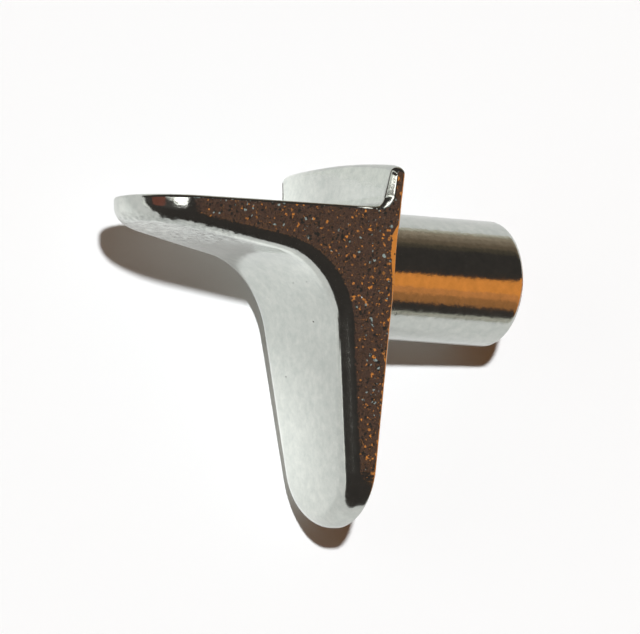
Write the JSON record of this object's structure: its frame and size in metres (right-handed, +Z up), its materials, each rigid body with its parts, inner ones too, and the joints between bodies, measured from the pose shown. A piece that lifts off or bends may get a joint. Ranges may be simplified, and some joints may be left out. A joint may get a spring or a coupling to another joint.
{
  "type": "shelf support pin",
  "caption": "L-shaped shelf support pin: a round pin for a hole in a cabinet side, with a tapering back plate, a ledge under the shelf and a low lip behind it.",
  "frame": {"origin": "on the pin's axis, at the back face that sits against the cabinet side", "axes": "+X along the pin into the cabinet side, +Z up out of the shelf seat, Y across the bracket; the ledge reaches out along -X"},
  "size_m": [0.0171, 0.0078, 0.014],
  "materials": {
    "nickel_plate": "satin nickel plate over a die casting, with a fine grain on the side faces"
  },
  "bodies": {
    "root": {"support_pin": "nickel_plate"}
  },
  "joints": []
}
